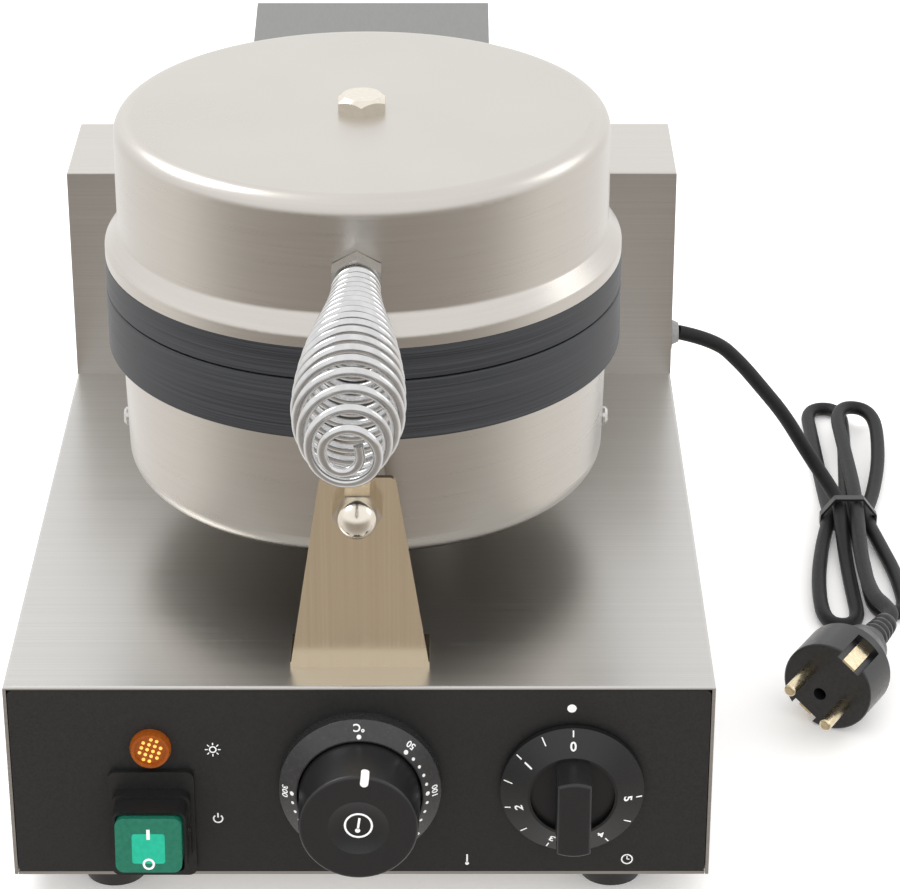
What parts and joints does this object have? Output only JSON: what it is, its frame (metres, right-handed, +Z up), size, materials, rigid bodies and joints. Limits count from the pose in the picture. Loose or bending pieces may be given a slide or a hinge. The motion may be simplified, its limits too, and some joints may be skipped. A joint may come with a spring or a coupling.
{
  "type": "waffle cone maker",
  "caption": "Countertop waffle cone maker: round hinged baking head on a steel base, coil handle, control panel with timer and thermostat, and a tied mains lead.",
  "frame": {"origin": "centre of the machine's outline on the table under its feet, handle included and mains lead left out", "axes": "+Z up, front with the control panel and handle towards -Y, +X to the right as seen from the front"},
  "size_m": [0.3598, 0.5093, 0.2622],
  "materials": {
    "brushed_steel": "brushed",
    "satin_steel": "satin",
    "plain_steel": "plain",
    "chrome_steel": "polished",
    "coated_plate": "dark non-stick coat",
    "black_panel": "satin",
    "black_plastic": "satin",
    "black_gloss": "gloss",
    "green_rocker": "translucent",
    "amber_lens": "translucent",
    "black_rubber": "matte",
    "cord_rubber": "satin",
    "grey_plastic": "satin",
    "inner_plastic": "plain",
    "tie_plastic": "gloss",
    "brass": "plain",
    "aluminium": "plain"
  },
  "bodies": {
    "base": {"base_housing": "brushed_steel", "hinge_column": "brushed_steel", "bottom_plate": "brushed_steel", "rubber_feet": "black_rubber", "foot_screws": "plain_steel", "underside_screws": "plain_steel", "rear_cover_screws": "plain_steel", "hinge_bracket_screws": "plain_steel", "bracket_screws": "plain_steel", "lower_shell_screws": "plain_steel", "front_panel": "black_panel", "terminal_block": "inner_plastic", "switch_body": "inner_plastic", "lamp_holder": "inner_plastic", "timer_body": "inner_plastic", "lamp_lens": "amber_lens", "switch_frame": "black_gloss", "thermostat_bezel": "black_plastic", "thermostat_body": "plain_steel", "thermostat_bulb": "plain_steel", "rear_cover": "brushed_steel", "hinge_bracket": "plain_steel", "hinge_pin": "plain_steel", "hinge_clips": "plain_steel", "hinge_bushes": "brass", "lower_shell": "satin_steel", "front_bracket": "satin_steel", "rear_bracket": "satin_steel", "spacer_sleeves": "plain_steel", "bracket_studs": "plain_steel", "acorn_nut": "chrome_steel", "lower_plate": "coated_plate", "lower_element": "plain_steel", "lower_press_plate": "plain_steel", "lower_press_nut": "plain_steel", "lower_center_bolt": "plain_steel", "lower_wire_conduit": "aluminium", "power_cord": "cord_rubber", "cord_hank": "cord_rubber", "cord_tie": "tie_plastic", "cord_bushing": "grey_plastic", "plug_body": "black_rubber", "plug_sleeve": "black_rubber", "plug_contacts": "brass"},
    "rocker": {"switch_rocker": "green_rocker"},
    "thermostat": {"thermostat_knob": "black_plastic", "thermostat_shaft": "plain_steel"},
    "timer": {"timer_knob": "black_plastic", "timer_shaft": "plain_steel"},
    "lid": {"upper_shell": "satin_steel", "upper_plate": "coated_plate", "upper_element": "plain_steel", "upper_press_plate": "plain_steel", "upper_press_nut": "plain_steel", "upper_center_bolt": "plain_steel", "lid_arm": "satin_steel", "lid_arm_screws": "plain_steel", "handle_stud": "plain_steel", "handle_nuts": "plain_steel", "handle_coil": "chrome_steel"}
  },
  "joints": [
    {"name": "lid_hinge", "type": "hinge", "parent": "base", "child": "lid", "pos_m": [0, 0.187, 0.198], "axis": [-1, 0, 0], "range_deg": [0, 105]},
    {"name": "power_rocker", "type": "hinge", "parent": "base", "child": "rocker", "pos_m": [-0.0742, -0.1155, 0.035], "axis": [1, 0, 0], "range_deg": [0, 20]},
    {"name": "thermostat_turn", "type": "hinge", "parent": "base", "child": "thermostat", "pos_m": [0, -0.109, 0.0509], "axis": [0, 1, 0], "range_deg": [0, 264]},
    {"name": "timer_turn", "type": "hinge", "parent": "base", "child": "timer", "pos_m": [0.0752, -0.109, 0.0497], "axis": [0, 1, 0], "range_deg": [0, 265]}
  ]
}
